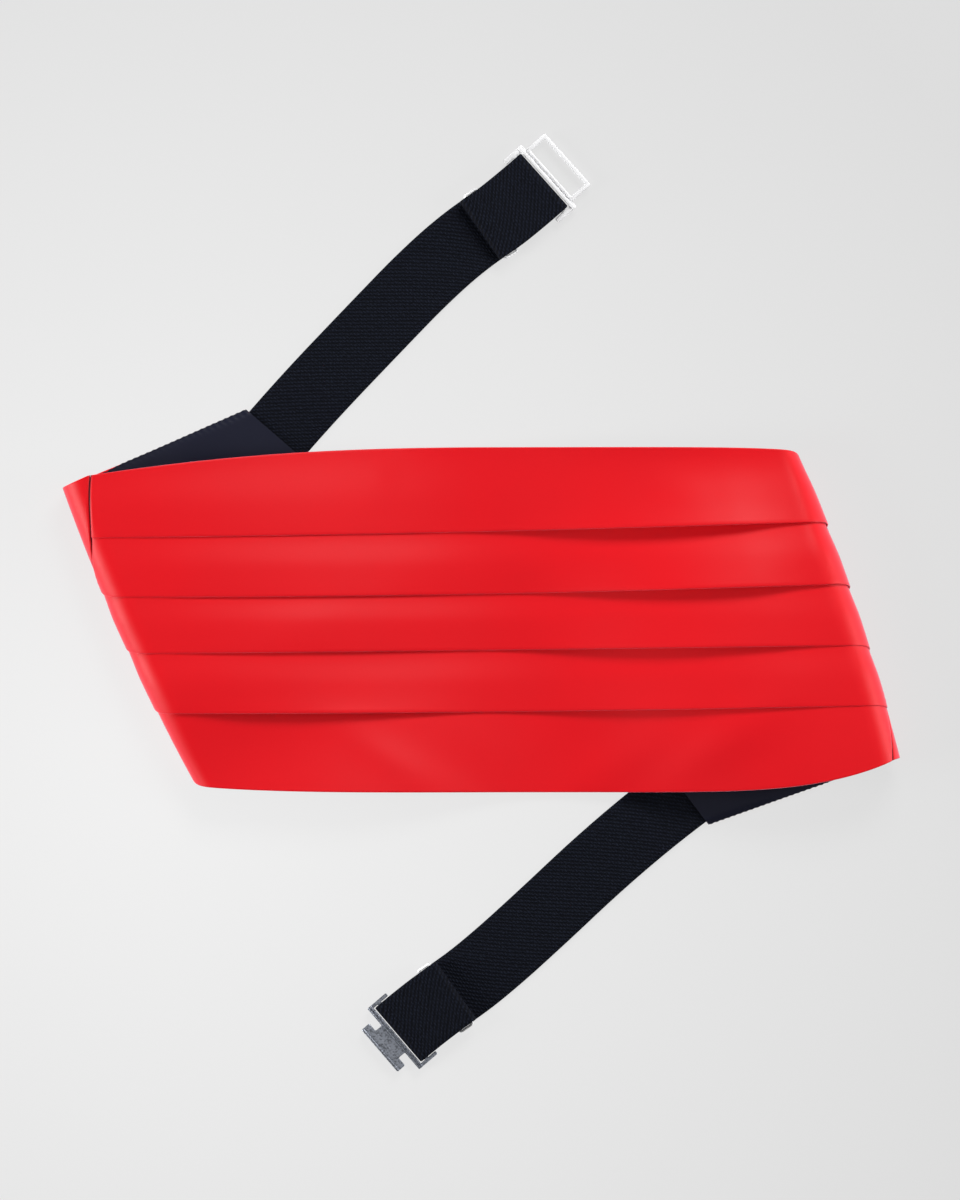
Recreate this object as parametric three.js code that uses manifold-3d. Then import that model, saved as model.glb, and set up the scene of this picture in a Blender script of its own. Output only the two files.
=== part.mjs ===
// Pleated satin cummerbund, lying face up with both tapered ends folded behind it.
// Millimetres: +X runs to the right along the pleats, +Y to the upper edge, +Z up from the table.
// The cloth is drawn flat first, as u along the pleats, v across them and w out of the red face,
// and is then laid round the two folds.
import * as THREE from "three";
import Module from "manifold-3d";

const manifold = await Module();
manifold.setup();

// Flat cloth
const PANEL_LENGTH = 286.4;
const PANEL_HEIGHT = 123.5;
const SEAM_HEIGHT = 103;
const TAIL_LENGTH = 77.5;
const CLOTH = 1;
const PLY_GAP = 0.3;
const LINING_GAP = 0.6;
const LINING_INSET = 1.2;
const SEAM_GAP = 0.3;
const EDGE_CURVE = 3.6;

// Pleats, which open towards the lower edge
const PLEAT_DEPTH = 10;
const PLEAT_LIFT = 2.4;
const PITCH = CLOTH + PLY_GAP;
const STACK = 2 * PITCH + CLOTH;

// Elastic straps
const ELASTIC_WIDTH = 25.4;
const ELASTIC = 1.3;
const ELASTIC_TUCK = 10;
const SEWN_END = 2.6;
const STRAP_FALL = 12;

// Sliders
const SLIDER_BAR = 1.2;
const SLIDER_PLATE = 1;
const SLIDER_PITCH = 5;

// Clasp
const FITTING_PLATE = 1.6;
const FITTING_BAR = 1.6;
const FITTING_BEVEL = 0.2;
const RAIL = 1.9;
const RAIL_RISE = 0.5;
const WING_REACH = 6.5;
const EYE_WING = 1.9;
const HOOK_WING = 1.3;
const EYE_FRAME_LENGTH = 9;
const EYE_FRAME_WIDTH = 24.8;
const EYE_SLOT_LENGTH = 6.6;
const EYE_SLOT_WIDTH = 21.8;
const EYE_FAR_BAR = 1.4;
const NECK_LENGTH = 2.9;
const NECK_WIDTH = 12.7;
const NECK_FILLET = 0.9;
const TEE_LENGTH = 3.6;
const TEE_WIDTH = 19.8;
const TEE_LIP = 1.2;
const TEE_LIP_RISE = 0.5;
const CATCH_PLATE = 1.3;

// Each end of the panel. foldReach is the share of PANEL_LENGTH from the middle to the fold on the
// centre line, tailOffset the share of SEAM_HEIGHT by which the tail's end lies above that line.
// Tilts and turns are in degrees, and strap turns are measured from its heading at the tail.
const ENDS = {
  left: {
    sign: -1,
    foldReach: 0.4567,
    foldTilt: 24.9,
    foldRadius: 7,
    bulge: 1.6,
    tailOffset: -0.014,
    tailTurn: -0.8,
    strapLength: 133,
    doubled: 29.6,
    strapTurns: [
      { share: 0, turn: 0 },
      { share: 0.25, turn: -2.6 },
      { share: 0.5, turn: -3 },
      { share: 0.64, turn: -6.6 },
      { share: 0.74, turn: -11.6 },
      { share: 0.8, turn: -15.6 },
      { share: 0.87, turn: -10.2 },
      { share: 1, turn: -7.2 },
    ],
  },
  right: {
    sign: 1,
    foldReach: 0.4501,
    foldTilt: 18.2,
    foldRadius: 8,
    bulge: 0.9,
    tailOffset: -0.115,
    tailTurn: -0.6,
    strapLength: 134.5,
    doubled: 26.4,
    strapTurns: [
      { share: 0, turn: 0 },
      { share: 0.2, turn: 3.4 },
      { share: 0.4, turn: 6.4 },
      { share: 0.6, turn: 5.2 },
      { share: 0.72, turn: 2.4 },
      { share: 0.8, turn: -2 },
      { share: 0.9, turn: 0.8 },
      { share: 1, turn: 3.6 },
    ],
  },
};

// Lower edge of each pleated band, as the share of PANEL_HEIGHT above the centre line at the left
// seam, the middle and the right seam, and how far it stands open there as shares of PLEAT_LIFT.
const PLEATS = [
  { left: 0.232, middle: 0.244, right: 0.281, liftLeft: 0.1, liftRight: 1 },
  { left: 0.066, middle: 0.074, right: 0.101, liftLeft: 0.1, liftRight: 0.8 },
  { left: -0.099, middle: -0.089, right: -0.078, liftLeft: 0.2, liftRight: 0.5 },
  { left: -0.275, middle: -0.271, right: -0.258, liftLeft: 0.6, liftRight: 0.7 },
];
const LIFT_AT = 0.25;
const LIFT_SPREAD = 0.2;

// How the panel sinks from its folds to the table: 0 is a fold's tangent line, 1 the middle.
const SAG_POWER = 1.3;
const BELLY_CLEARANCE = 0.1;
const BULGE_FADE = 35;

// Mesh steps
const FOLD_STEPS = 8;
const PANEL_STEPS = 14;
const UNDER_STEP = 11;
const UNDER_STEPS = 8;
const TAIL_ROWS = 12;
const STRAP_STEP = 9;

const rad = THREE.MathUtils.degToRad;
const lerp = THREE.MathUtils.lerp;
const smooth = THREE.MathUtils.smoothstep;

function material(name, color, roughness, metalness = 0) {
  return new THREE.MeshStandardMaterial({ name, color, roughness, metalness });
}
const redSatin = material("red_satin", 0xd8141f, 0.5);
const navyLining = material("navy_lining", 0x1d2138, 0.45);
const navyElastic = material("navy_elastic", 0x11151f, 0.85);
const claspMetal = material("clasp_metal", 0xc9cbce, 0.3, 1);

// Fold lines. A point's reach is its distance from the middle square to the fold line, and its run
// is its place along that line.
for (const end of Object.values(ENDS)) {
  const tilt = rad(end.foldTilt);
  end.across = new THREE.Vector2(Math.cos(tilt), Math.sin(tilt));
  end.along = new THREE.Vector2(-Math.sin(tilt), Math.cos(tilt));
  end.tangent = end.foldReach * PANEL_LENGTH * Math.cos(tilt) - end.foldRadius - CLOTH;
  end.halfTurn = Math.PI * end.foldRadius;
  end.axisHeight = end.foldRadius + STACK;
  end.topHeight = end.axisHeight + end.foldRadius;
}
const BELLY_HEIGHT = LINING_GAP + CLOTH + BELLY_CLEARANCE;

function reachOf(end, u, v) {
  return end.sign * (u * end.across.x + v * end.across.y);
}

// Height of the panel's red cloth above the table between the two folds.
function panelHeight(u, v) {
  const left = ENDS.left.tangent - reachOf(ENDS.left, u, v);
  const right = ENDS.right.tangent - reachOf(ENDS.right, u, v);
  const share = left / (left + right);
  const near = share < 0.5 ? ENDS.left : ENDS.right;
  const inward = 2 * Math.min(share, 1 - share);
  const sag = (1 + Math.cos(Math.PI * inward ** SAG_POWER)) / 2;
  return lerp(BELLY_HEIGHT, near.topHeight, sag);
}

// Past the seam one ply is left of the pleats' stack, so the tail sinks by the rest of it.
function tailDrop(u) {
  return (STACK - CLOTH) * smooth(Math.abs(u) - PANEL_LENGTH / 2, 0, 2 * UNDER_STEP);
}

// Point of the laid cloth for a flat place u, v and a height w out of its red face.
function lay(u, v, w) {
  const end = reachOf(ENDS.left, u, v) > reachOf(ENDS.right, u, v) ? ENDS.left : ENDS.right;
  const past = reachOf(end, u, v) - end.tangent;
  const run = u * end.along.x + v * end.along.y;
  let reach = end.tangent + past;
  let z = w;
  if (past < 0) {
    z += panelHeight(u, v);
  } else if (past < end.halfTurn) {
    const angle = past / end.foldRadius;
    reach = end.tangent + (end.foldRadius + w) * Math.sin(angle);
    z = end.axisHeight + (end.foldRadius + w) * Math.cos(angle);
    z -= (tailDrop(u) * (1 - Math.cos(angle))) / 2;
  } else {
    reach = end.tangent - (past - end.halfTurn);
    z = end.axisHeight - end.foldRadius - w - tailDrop(u);
  }
  const x = end.sign * reach * end.across.x + run * end.along.x;
  const y = end.sign * reach * end.across.y + run * end.along.y;
  const middle = Math.max(0, 1 - (y / (PANEL_HEIGHT / 2)) ** 2);
  const outward = smooth(reach, end.tangent - BULGE_FADE, end.tangent + end.foldRadius);
  return new THREE.Vector3(x + end.sign * end.bulge * middle * outward, y, z);
}

// Flat outline: the panel narrows towards its seams and its tails taper to the elastic.
for (const end of Object.values(ENDS)) {
  const turn = rad(end.tailTurn) * end.sign;
  end.tailEnd = new THREE.Vector2(
    end.sign * (PANEL_LENGTH / 2 + TAIL_LENGTH),
    end.tailOffset * SEAM_HEIGHT,
  );
  end.tailAxis = new THREE.Vector2(end.sign * Math.cos(turn), Math.sin(turn) * end.sign);
}

function jointU(end, v) {
  return end.tailEnd.x - ((v - end.tailEnd.y) * end.tailAxis.y) / end.tailAxis.x;
}

function edgeV(u, upper) {
  const beyond = Math.abs(u) - PANEL_LENGTH / 2;
  if (beyond <= 0) {
    const fall = ((PANEL_HEIGHT - SEAM_HEIGHT) / 2) * Math.abs((2 * u) / PANEL_LENGTH) ** EDGE_CURVE;
    return upper * (PANEL_HEIGHT / 2 - fall);
  }
  const end = u < 0 ? ENDS.left : ENDS.right;
  const tip = end.tailEnd.y + (upper * ELASTIC_WIDTH) / 2;
  return lerp((upper * SEAM_HEIGHT) / 2, tip, beyond / TAIL_LENGTH);
}

// Stations are slanted lines across the flat cloth that lie along the folds.
function tangentU(end, v, past) {
  return (end.sign * (end.tangent + past) - v * end.across.y) / end.across.x;
}
const STATIONS = [];
for (const end of [ENDS.left, ENDS.right]) {
  const own = [];
  for (let i = 1; i <= FOLD_STEPS; i++) {
    const past = (end.halfTurn * i) / FOLD_STEPS;
    own.push((v) => tangentU(end, v, past));
  }
  for (let i = 1; i <= UNDER_STEPS; i++) {
    const past = end.halfTurn + UNDER_STEP * i;
    own.push((v) => tangentU(end, v, past));
  }
  if (end === ENDS.right) {
    for (let i = 0; i <= PANEL_STEPS; i++) {
      const share = i / PANEL_STEPS;
      STATIONS.push((v) => lerp(tangentU(ENDS.left, v, 0), tangentU(ENDS.right, v, 0), share));
    }
    STATIONS.push(...own);
  } else {
    STATIONS.push(...own.reverse());
  }
}

// Gives each place one number, so that faces that meet share their corners.
function makeWelder() {
  const places = new Map();
  const points = [];
  const idOf = (p) => {
    const key = [p.x, p.y, p.z].map((c) => Math.round(c * 1e3)).join();
    if (!places.has(key)) {
      places.set(key, points.length);
      points.push(p);
    }
    return places.get(key);
  };
  return { points, idOf };
}

// A closed solid from loops of matched points: front rows one way, back rows the other.
function solidOfPlies(name, material, columns) {
  const rows = columns[0].front.length;
  const loops = columns.map(({ front, back }) => [...front, ...[...back].reverse()]);
  const count = 2 * rows;
  const { points, idOf } = makeWelder();
  const ids = loops.map((loop) => loop.map(idOf));
  const triangles = [];
  const addTriangle = (a, b, c) => {
    if (a !== b && b !== c && c !== a) triangles.push([a, b, c]);
  };
  const addQuad = (a, b, c, d) => {
    addTriangle(a, b, c);
    addTriangle(a, c, d);
  };
  for (let i = 0; i + 1 < ids.length; i++) {
    for (let j = 0; j < count; j++) {
      const k = (j + 1) % count;
      addQuad(ids[i][j], ids[i + 1][j], ids[i + 1][k], ids[i][k]);
    }
  }
  const last = ids.length - 1;
  for (let j = 0; j + 1 < rows; j++) {
    const back = count - 1 - j;
    addQuad(ids[0][j], ids[0][j + 1], ids[0][back - 1], ids[0][back]);
    addQuad(ids[last][j + 1], ids[last][j], ids[last][back], ids[last][back - 1]);
  }
  const volume = triangles.reduce(
    (sum, [a, b, c]) => sum + points[a].dot(points[b].clone().cross(points[c])),
    0,
  );
  const turned = volume < 0 ? triangles.map(([a, b, c]) => [a, c, b]) : triangles;
  const geometry = new THREE.BufferGeometry().setFromPoints(points);
  geometry.setIndex(turned.flat());
  geometry.computeVertexNormals();
  const mesh = new THREE.Mesh(geometry, material);
  mesh.name = name;
  return mesh;
}

// Cloth between two limits of u. rowsAt(u) gives the front and back rows as [v, w] pairs.
function layCloth(name, material, rowsAt, minU, maxU) {
  const columns = STATIONS.map((station) => {
    const place = (side, row) => {
      let u = 0;
      for (let pass = 0; pass < 12; pass++) {
        const v = rowsAt(u)[side][row][0];
        u = THREE.MathUtils.clamp(station(v), minU(v), maxU(v));
      }
      const [v, w] = rowsAt(u)[side][row];
      return lay(u, v, w);
    };
    const rows = rowsAt(0).front.length;
    const order = Array.from({ length: rows }, (_, row) => row);
    return {
      front: order.map((row) => place("front", row)),
      back: order.map((row) => place("back", row)),
    };
  });
  return solidOfPlies(name, material, columns);
}

// Pleated front: five overlapping bands with the cloth folded back under each lower edge.
function pleatAt(pleat, u) {
  const share = (2 * u) / PANEL_LENGTH;
  const end = share < 0 ? pleat.left : pleat.right;
  const middle = lerp(pleat.middle, (pleat.left + pleat.right) / 2, share * share);
  const slope = ((pleat.right - pleat.left) / 2) * share;
  const edge = Math.abs(share) > 1 ? end : middle + slope;
  const bump = (at) => {
    const off = Math.min(1, Math.abs(share / 2 - at) / LIFT_SPREAD);
    return (1 + Math.cos(Math.PI * off)) / 2;
  };
  const open = pleat.liftLeft * bump(-LIFT_AT) + pleat.liftRight * bump(LIFT_AT);
  return { v: edge * PANEL_HEIGHT, lift: open * PLEAT_LIFT };
}

const TOP_BAND_SHARES = [0, 0.35, 0.7];
const BAND_SHARES = [0, 0.5];
const LAST_BAND_SHARES = [0, 0.3, 0.65, 1];

function pleatedRows(u) {
  const front = [];
  const back = [];
  const addRow = (v, w) => {
    front.push([v, w + CLOTH]);
    back.push([v, w]);
  };
  const rise = (share) => 2 * PITCH * smooth(share, 0, 1);
  PLEATS.forEach((pleat, index) => {
    const { v: edge, lift } = pleatAt(pleat, u);
    const start = index === 0 ? edgeV(u, 1) : pleatAt(PLEATS[index - 1], u).v;
    const shares = index === 0 ? TOP_BAND_SHARES : BAND_SHARES;
    for (const share of shares) {
      addRow(lerp(start, edge + PLEAT_DEPTH, share), rise(share));
    }
    addRow(edge + PLEAT_DEPTH, 2 * PITCH);
    front.push([edge, 2 * PITCH + CLOTH + lift]);
    back.push([edge + CLOTH, 2 * PITCH + lift]);
    front.push([edge, PITCH + lift]);
    back.push([edge + CLOTH, PITCH + CLOTH + lift]);
    front.push([edge + PLEAT_DEPTH - CLOTH, PITCH]);
    back.push([edge + PLEAT_DEPTH, PITCH + CLOTH]);
    front.push([edge + PLEAT_DEPTH - CLOTH, CLOTH]);
    back.push([edge + PLEAT_DEPTH, 0]);
  });
  const start = pleatAt(PLEATS.at(-1), u).v;
  for (const share of LAST_BAND_SHARES) {
    addRow(lerp(start, edgeV(u, -1), share), 0);
  }
  return { front, back };
}

function makePleatedFront() {
  const half = PANEL_LENGTH / 2;
  return layCloth("pleated_front", redSatin, pleatedRows, () => -half, () => half);
}

// End pieces: one plain ply from the seam to the elastic.
function evenRows(u, inset, w) {
  const front = [];
  const back = [];
  for (let row = 0; row <= TAIL_ROWS; row++) {
    const v = lerp(edgeV(u, 1) - inset, edgeV(u, -1) + inset, row / TAIL_ROWS);
    const level = w(u, v);
    front.push([v, level + CLOTH]);
    back.push([v, level]);
  }
  return { front, back };
}

function makeEndPanel(name, end) {
  const rowsAt = (u) => evenRows(u, 0, () => 0);
  const seam = end.sign * (PANEL_LENGTH / 2 + SEAM_GAP);
  const minU = (v) => (end.sign < 0 ? jointU(end, v) : seam);
  const maxU = (v) => (end.sign < 0 ? seam : jointU(end, v));
  return layCloth(name, redSatin, rowsAt, minU, maxU);
}

// Lining: runs behind everything and rises over the sewn-in ends of the elastic.
function liningLevel(u, v) {
  const end = u < 0 ? ENDS.left : ENDS.right;
  const toJoint = end.sign * (jointU(end, v) - u);
  const rise = 2 * PLY_GAP + ELASTIC - LINING_GAP;
  const lift = rise * (1 - smooth(toJoint, ELASTIC_TUCK + 2 * PLY_GAP, 3 * ELASTIC_TUCK));
  return -LINING_GAP - CLOTH - lift;
}

function makeLining() {
  const rowsAt = (u) => evenRows(u, LINING_INSET, liningLevel);
  return layCloth(
    "lining",
    navyLining,
    rowsAt,
    (v) => jointU(ENDS.left, v),
    (v) => jointU(ENDS.right, v),
  );
}

// Strap route on the table: a curve that leaves the tail square to its end.
function strapRoute(end) {
  const start = lay(end.tailEnd.x, end.tailEnd.y, 0);
  const out = end.tailAxis.clone();
  out.addScaledVector(end.across, -2 * out.dot(end.across));
  const heading = Math.atan2(out.y, out.x);
  const headingAt = (a) => {
    const share = THREE.MathUtils.clamp(a / end.strapLength, 0, 1);
    const next = Math.max(1, end.strapTurns.findIndex((turn) => turn.share >= share));
    const from = end.strapTurns[next - 1];
    const to = end.strapTurns[next];
    const part = (share - from.share) / (to.share - from.share);
    return heading + rad(lerp(from.turn, to.turn, part));
  };
  const steps = 240;
  const step = end.strapLength / steps;
  const route = [new THREE.Vector2(start.x, start.y)];
  const directionAt = (a) => new THREE.Vector2(Math.cos(headingAt(a)), Math.sin(headingAt(a)));
  for (let i = 0; i < steps; i++) {
    route.push(route[i].clone().addScaledVector(directionAt((i + 0.5) * step), step));
  }
  return (a, b, z) => {
    const index = THREE.MathUtils.clamp(Math.floor(a / step), 0, steps - 1);
    const rest = a - index * step;
    const along = directionAt(a);
    const place = route[index].clone().addScaledVector(along, rest);
    return new THREE.Vector3(place.x - along.y * b, place.y + along.x * b, z);
  };
}

// Heights of what lies on the table under and in the elastic's loops.
const BAR_ROUND = Math.hypot(SLIDER_BAR, SLIDER_PLATE) / 2;
const LOOP_GAP = 0.25;
const SLIDER_LOOP = BAR_ROUND + LOOP_GAP + ELASTIC / 2;
const SLIDER_HEIGHT = ELASTIC + PLY_GAP + ELASTIC / 2 + SLIDER_LOOP;
const UNDER_BAR_HEIGHT = BAR_ROUND + 0.02;
const CLASP_LOOP = FITTING_PLATE / 2 + PLY_GAP + ELASTIC / 2;
const CLASP_HEIGHT = ELASTIC / 2 + CLASP_LOOP;

function arcNodes(a, z, radius, from, to, steps) {
  return Array.from({ length: steps + 1 }, (_, i) => {
    const angle = rad(lerp(from, to, i / steps));
    return new THREE.Vector2(a + radius * Math.cos(angle), z + radius * Math.sin(angle));
  });
}

// Side view of a strap, as distances along its route and heights, from the tail round the clasp's
// bar and back to the slider's.
function elasticSide(end) {
  const low = ELASTIC / 2;
  const tucked = CLOTH + PLY_GAP + low;
  const over = UNDER_BAR_HEIGHT + BAR_ROUND + LOOP_GAP + low;
  const claspAt = end.strapLength - CLASP_LOOP - low;
  const sliderAt = end.strapLength - end.doubled + SLIDER_LOOP + low;
  const barAt = sliderAt + SLIDER_PITCH;
  const nodes = [
    new THREE.Vector2(-ELASTIC_TUCK, tucked),
    new THREE.Vector2(PLY_GAP * 3, tucked),
    new THREE.Vector2(STRAP_FALL / 2, (tucked + low) / 2),
    new THREE.Vector2(STRAP_FALL, low),
  ];
  const free = sliderAt + SEWN_END / 2 - STRAP_FALL;
  const pieces = Math.max(1, Math.round(free / STRAP_STEP));
  for (let i = 1; i <= pieces; i++) {
    nodes.push(new THREE.Vector2(STRAP_FALL + (free * i) / pieces, low));
  }
  nodes.push(new THREE.Vector2(barAt - SLIDER_BAR / 2, over));
  nodes.push(new THREE.Vector2(barAt + SLIDER_BAR / 2, over));
  nodes.push(new THREE.Vector2(barAt + SLIDER_PITCH, low));
  nodes.push(...arcNodes(claspAt, CLASP_HEIGHT, CLASP_LOOP, -90, 90, 8));
  const returnHeight = lerp(CLASP_HEIGHT + CLASP_LOOP, SLIDER_HEIGHT + SLIDER_LOOP, 0.7);
  nodes.push(new THREE.Vector2(lerp(claspAt, sliderAt, 0.5), returnHeight));
  nodes.push(...arcNodes(sliderAt, SLIDER_HEIGHT, SLIDER_LOOP, 90, 270, 8));
  nodes.push(new THREE.Vector2(sliderAt + SEWN_END / 2, SLIDER_HEIGHT - SLIDER_LOOP));
  return { nodes, sliderAt };
}

function makeElastic(name, end) {
  const at = strapRoute(end);
  const { nodes } = elasticSide(end);
  const columns = nodes.map((node, i) => {
    const before = nodes[Math.max(0, i - 1)];
    const after = nodes[Math.min(nodes.length - 1, i + 1)];
    const incoming = node.clone().sub(before).normalize();
    const outgoing = after.clone().sub(node).normalize();
    const along = incoming.add(outgoing).normalize();
    const inner = i > 0 && i < nodes.length - 1;
    const mitre = inner ? along.dot(outgoing) : 1;
    const off = new THREE.Vector2(-along.y, along.x).multiplyScalar(ELASTIC / 2 / mitre);
    const side = (sign) => {
      const a = node.x + sign * off.x;
      const z = node.y + sign * off.y;
      return [at(a, -ELASTIC_WIDTH / 2, z), at(a, ELASTIC_WIDTH / 2, z)];
    };
    return { front: side(1), back: side(-1) };
  });
  return solidOfPlies(name, navyElastic, columns);
}

// Flat plates, drawn with x along the strap and y across it.
function plate(outline, holes, thickness, bevel) {
  const shape = new THREE.Shape(outline);
  shape.holes = holes.map((points) => new THREE.Path(points));
  const geometry = new THREE.ExtrudeGeometry(shape, {
    depth: thickness - 2 * bevel,
    bevelEnabled: bevel > 0,
    bevelSize: bevel,
    bevelOffset: -bevel,
    bevelThickness: bevel,
    bevelSegments: 1,
    curveSegments: 4,
  });
  return geometry.translate(0, 0, bevel - thickness / 2);
}

function rectangle(fromX, toX, halfWidth) {
  return [
    new THREE.Vector2(fromX, -halfWidth),
    new THREE.Vector2(toX, -halfWidth),
    new THREE.Vector2(toX, halfWidth),
    new THREE.Vector2(fromX, halfWidth),
  ];
}

function toManifold(geometry) {
  const bare = geometry.index ? geometry.toNonIndexed() : geometry;
  const position = bare.getAttribute("position");
  const { points, idOf } = makeWelder();
  const corners = Array.from({ length: position.count }, (_, i) => {
    return idOf(new THREE.Vector3().fromBufferAttribute(position, i));
  });
  return new manifold.Manifold(
    new manifold.Mesh({
      numProp: 3,
      vertProperties: new Float32Array(points.flatMap((p) => p.toArray())),
      triVerts: new Uint32Array(corners),
    }),
  );
}

function join(name, material, geometries) {
  const [first, ...others] = geometries.map(toManifold);
  const joined = others.reduce((sum, next) => sum.add(next), first).getMesh();
  const geometry = new THREE.BufferGeometry();
  geometry.setAttribute("position", new THREE.BufferAttribute(joined.vertProperties, 3));
  geometry.setIndex(new THREE.BufferAttribute(joined.triVerts, 1));
  const mesh = new THREE.Mesh(geometry, material);
  mesh.name = name;
  return mesh;
}

// Slider: a ring whose one bar sits in the strap's sewn end and whose other lies under the strap.
function makeSlider(name, end) {
  const { sliderAt } = elasticSide(end);
  const rise = SLIDER_HEIGHT - UNDER_BAR_HEIGHT;
  const length = Math.hypot(SLIDER_PITCH, rise);
  const inside = ELASTIC_WIDTH / 2 + 2 * PLY_GAP;
  const ring = plate(
    rectangle(-SLIDER_BAR / 2, length + SLIDER_BAR / 2, inside + SLIDER_BAR),
    [rectangle(SLIDER_BAR / 2, length - SLIDER_BAR / 2, inside)],
    SLIDER_PLATE,
    0,
  );
  ring.rotateY(Math.atan2(rise, SLIDER_PITCH));
  return seat(join(name, claspMetal, [ring]), end, sliderAt, SLIDER_HEIGHT);
}

// Places a flat fitting square to its strap, at a distance along the route and a height.
function seat(mesh, end, a, z) {
  const at = strapRoute(end);
  const ahead = at(a + 1, 0, 0).sub(at(a, 0, 0));
  mesh.position.copy(at(a, 0, z));
  mesh.rotation.z = Math.atan2(ahead.y, ahead.x);
  return mesh;
}

// Frame that the strap loops through, with its outer end of the loop at x = 0.
function strapFrame(wing) {
  const inside = ELASTIC_WIDTH / 2 + PLY_GAP;
  const outside = inside + wing;
  const barEnd = -ELASTIC - PLY_GAP;
  const front = PLY_GAP + RAIL;
  const bar = rectangle(barEnd - FITTING_BAR, barEnd, outside - FITTING_BEVEL);
  const rail = rectangle(PLY_GAP, front, outside);
  const side = rectangle(-WING_REACH, front, wing / 2);
  const middle = (inside + outside) / 2;
  const plates = [
    plate(bar, [], FITTING_PLATE, FITTING_BEVEL),
    plate(rail, [], FITTING_PLATE + RAIL_RISE, FITTING_BEVEL).translate(0, 0, RAIL_RISE / 2),
    plate(side, [], FITTING_PLATE, FITTING_BEVEL).translate(0, middle, 0),
    plate(side, [], FITTING_PLATE, FITTING_BEVEL).translate(0, -middle, 0),
  ];
  return { front, plates };
}

function makeClaspEye() {
  const { front, plates } = strapFrame(EYE_WING);
  const end = front + EYE_FRAME_LENGTH;
  const slotEnd = end - EYE_FAR_BAR;
  const slot = rectangle(slotEnd - EYE_SLOT_LENGTH, slotEnd, EYE_SLOT_WIDTH / 2);
  const frame = plate(
    rectangle(front - RAIL / 2, end, EYE_FRAME_WIDTH / 2),
    [slot],
    CATCH_PLATE,
    FITTING_BEVEL,
  );
  const mesh = join("clasp_eye", claspMetal, [...plates, frame]);
  return seat(mesh, ENDS.left, ENDS.left.strapLength, CLASP_HEIGHT);
}

// Neck that widens into the rail and the cross bar by small fillets.
function neckOutline(from, to) {
  const half = NECK_WIDTH / 2;
  const shape = new THREE.Shape();
  shape.moveTo(from, -half - NECK_FILLET);
  shape.absarc(from + NECK_FILLET, -half - NECK_FILLET, NECK_FILLET, Math.PI, Math.PI / 2, true);
  shape.absarc(to - NECK_FILLET, -half - NECK_FILLET, NECK_FILLET, Math.PI / 2, 0, true);
  shape.lineTo(to, half + NECK_FILLET);
  shape.absarc(to - NECK_FILLET, half + NECK_FILLET, NECK_FILLET, 0, -Math.PI / 2, true);
  shape.absarc(from + NECK_FILLET, half + NECK_FILLET, NECK_FILLET, -Math.PI / 2, -Math.PI, true);
  return shape.getPoints(4);
}

function makeClaspHook() {
  const { front, plates } = strapFrame(HOOK_WING);
  const tee = front + NECK_LENGTH;
  const end = tee + TEE_LENGTH;
  const neckSpan = [front - PLY_GAP, tee + PLY_GAP];
  const neck = plate(neckOutline(...neckSpan), [], CATCH_PLATE, 0);
  const bar = plate(rectangle(tee, end, TEE_WIDTH / 2), [], CATCH_PLATE, FITTING_BEVEL);
  const lip = plate(rectangle(end - TEE_LIP, end, TEE_WIDTH / 2), [], CATCH_PLATE, FITTING_BEVEL);
  lip.translate(0, 0, TEE_LIP_RISE);
  const mesh = join("clasp_hook", claspMetal, [...plates, neck, bar, lip]);
  return seat(mesh, ENDS.right, ENDS.right.strapLength, CLASP_HEIGHT);
}

const group = new THREE.Group();
group.add(
  makePleatedFront(),
  makeEndPanel("end_panel_left", ENDS.left),
  makeEndPanel("end_panel_right", ENDS.right),
  makeLining(),
  makeElastic("elastic_left", ENDS.left),
  makeElastic("elastic_right", ENDS.right),
  makeSlider("slider_left", ENDS.left),
  makeSlider("slider_right", ENDS.right),
  makeClaspEye(),
  makeClaspHook(),
);

// The origin is the middle of the outline, at the table.
const box = new THREE.Box3().setFromObject(group);
const middle = box.getCenter(new THREE.Vector3());
group.position.set(-middle.x, -middle.y, -box.min.z);

export default group;
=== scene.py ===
import math

import bmesh
import bpy
import numpy as np
from mathutils import Matrix, Vector


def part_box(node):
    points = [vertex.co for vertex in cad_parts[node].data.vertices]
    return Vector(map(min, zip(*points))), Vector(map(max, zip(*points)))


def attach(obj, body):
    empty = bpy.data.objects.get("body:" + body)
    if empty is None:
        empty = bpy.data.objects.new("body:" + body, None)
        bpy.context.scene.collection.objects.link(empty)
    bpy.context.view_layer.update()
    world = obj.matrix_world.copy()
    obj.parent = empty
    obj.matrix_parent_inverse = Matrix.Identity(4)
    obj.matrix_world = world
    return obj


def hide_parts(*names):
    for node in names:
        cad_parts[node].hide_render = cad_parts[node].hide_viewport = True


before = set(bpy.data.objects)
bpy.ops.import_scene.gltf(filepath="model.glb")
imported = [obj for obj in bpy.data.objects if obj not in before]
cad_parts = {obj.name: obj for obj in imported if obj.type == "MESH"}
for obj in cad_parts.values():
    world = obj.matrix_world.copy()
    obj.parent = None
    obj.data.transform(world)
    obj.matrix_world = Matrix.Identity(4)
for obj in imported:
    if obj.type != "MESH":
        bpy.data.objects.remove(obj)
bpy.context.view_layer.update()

MM = 0.001

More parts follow.
